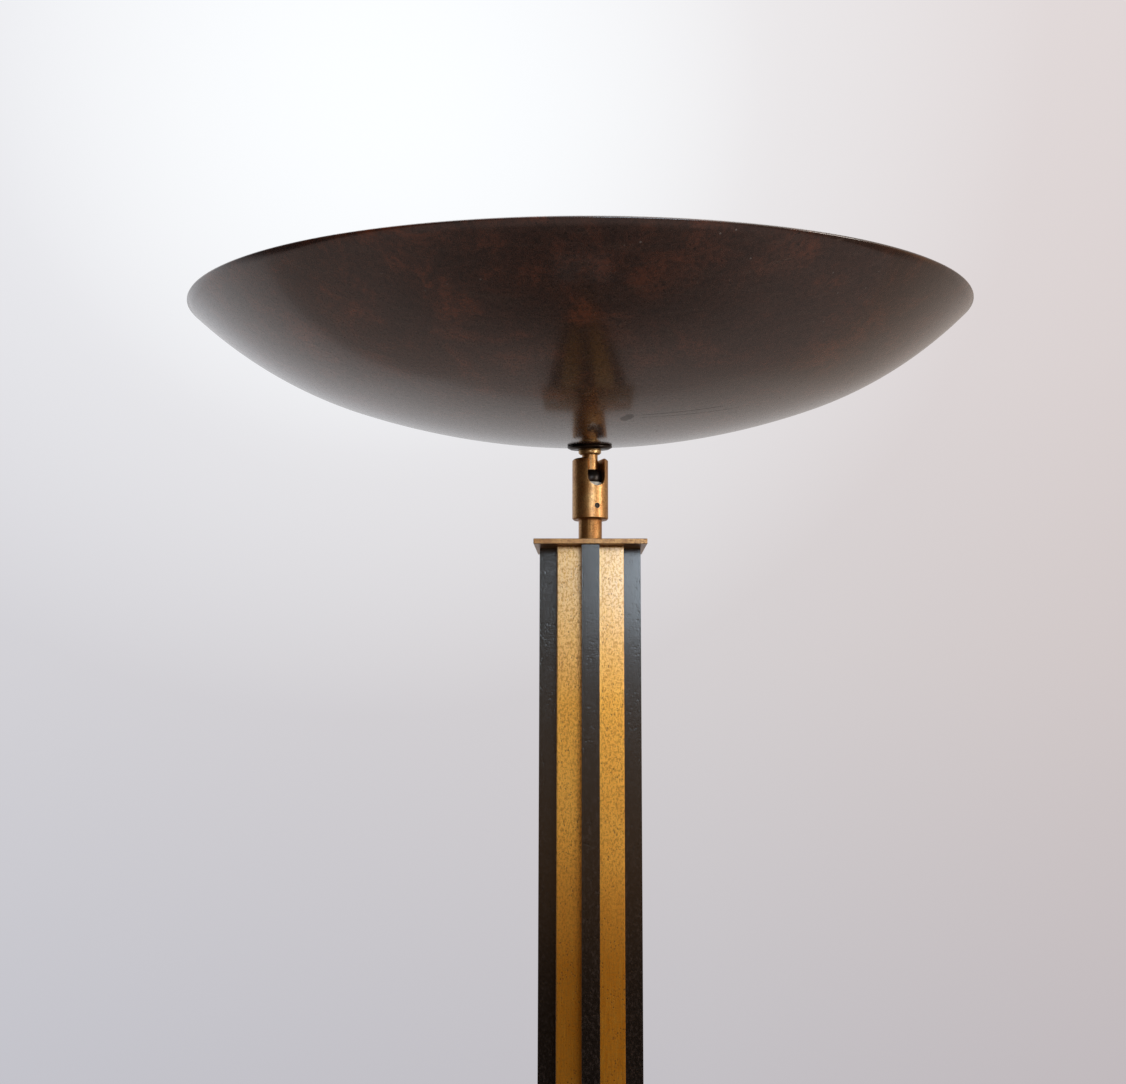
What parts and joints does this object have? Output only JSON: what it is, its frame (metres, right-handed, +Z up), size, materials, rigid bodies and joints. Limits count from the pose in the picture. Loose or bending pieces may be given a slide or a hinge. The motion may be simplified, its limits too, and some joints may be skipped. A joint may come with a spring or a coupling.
{
  "type": "torchiere floor lamp",
  "caption": "Uplighter floor lamp: shallow spun dark bronze dish on a slotted brass ball knuckle, square brass column with dark bars, weighted square base.",
  "frame": {"origin": "on the floor, at the centre of the base's underside, under the column's axis", "axes": "+Z up along the column, -Y the front that the dish leans towards, +X to the right seen from the front"},
  "size_m": [0.4799, 0.4771, 1.8687],
  "materials": {
    "felt": "matt felt",
    "iron": "raw casting",
    "dark_lacquer": "satin dark bronze lacquer",
    "dish_lacquer": "satin dark bronze lacquer",
    "rubber": "matt",
    "porcelain": "unglazed",
    "brass": "satin, lightly aged",
    "gunmetal": "blackened satin",
    "steel": "zinc plated",
    "plug_metal": "as sawn",
    "nylon": "matt",
    "black_metal": "blackened, semi-gloss",
    "lead_sheath": "silicone sheath",
    "polished_sheet": "polished",
    "quartz": "clear",
    "filament": "drawn wire"
  },
  "bodies": {
    "stand": {"base_underlay": "felt", "base_weight": "iron", "base_cover": "dark_lacquer", "cord_grommet": "rubber", "base_terminal": "porcelain", "earth_screw": "brass", "rod_washer": "steel", "rod_nut": "steel", "tie_rod": "steel", "column_lead": "lead_sheath", "foot_plate": "brass", "foot_screws": "steel", "lower_plug": "plug_metal", "core_tube": "brass", "bar_front": "gunmetal", "bar_right": "gunmetal", "bar_back": "gunmetal", "bar_left": "gunmetal", "upper_plug": "plug_metal", "cap_plate": "brass", "cap_screws": "steel", "stem": "brass"},
    "swivel": {"swivel_body": "brass", "grub_screw": "steel", "spring_washer": "steel", "ball_seat": "nylon"},
    "head": {"swivel_ball": "black_metal", "neck_tube": "brass", "neck_lead": "lead_sheath", "neck_nut": "brass", "dish_washer": "black_metal", "dish": "dish_lacquer", "inner_washer": "steel", "inner_nut": "steel", "lamp_bracket": "steel", "bracket_screws": "steel", "reflector": "polished_sheet", "socket_left": "porcelain", "socket_right": "porcelain", "contact_pins": "brass", "quartz_tube": "quartz", "tube_ends": "porcelain", "filament": "filament", "head_terminal": "porcelain"}
  },
  "joints": [
    {"name": "swivel_turn", "type": "hinge", "parent": "stand", "child": "swivel", "pos_m": [0, 0, 1.7238], "axis": [0, 0, 1], "range_deg": [-170, 170]},
    {"name": "head_tilt", "type": "hinge", "parent": "swivel", "child": "head", "pos_m": [0, 0, 1.7426], "axis": [0.9205, 0.3907, 0], "range_deg": [-5, 52]}
  ]
}
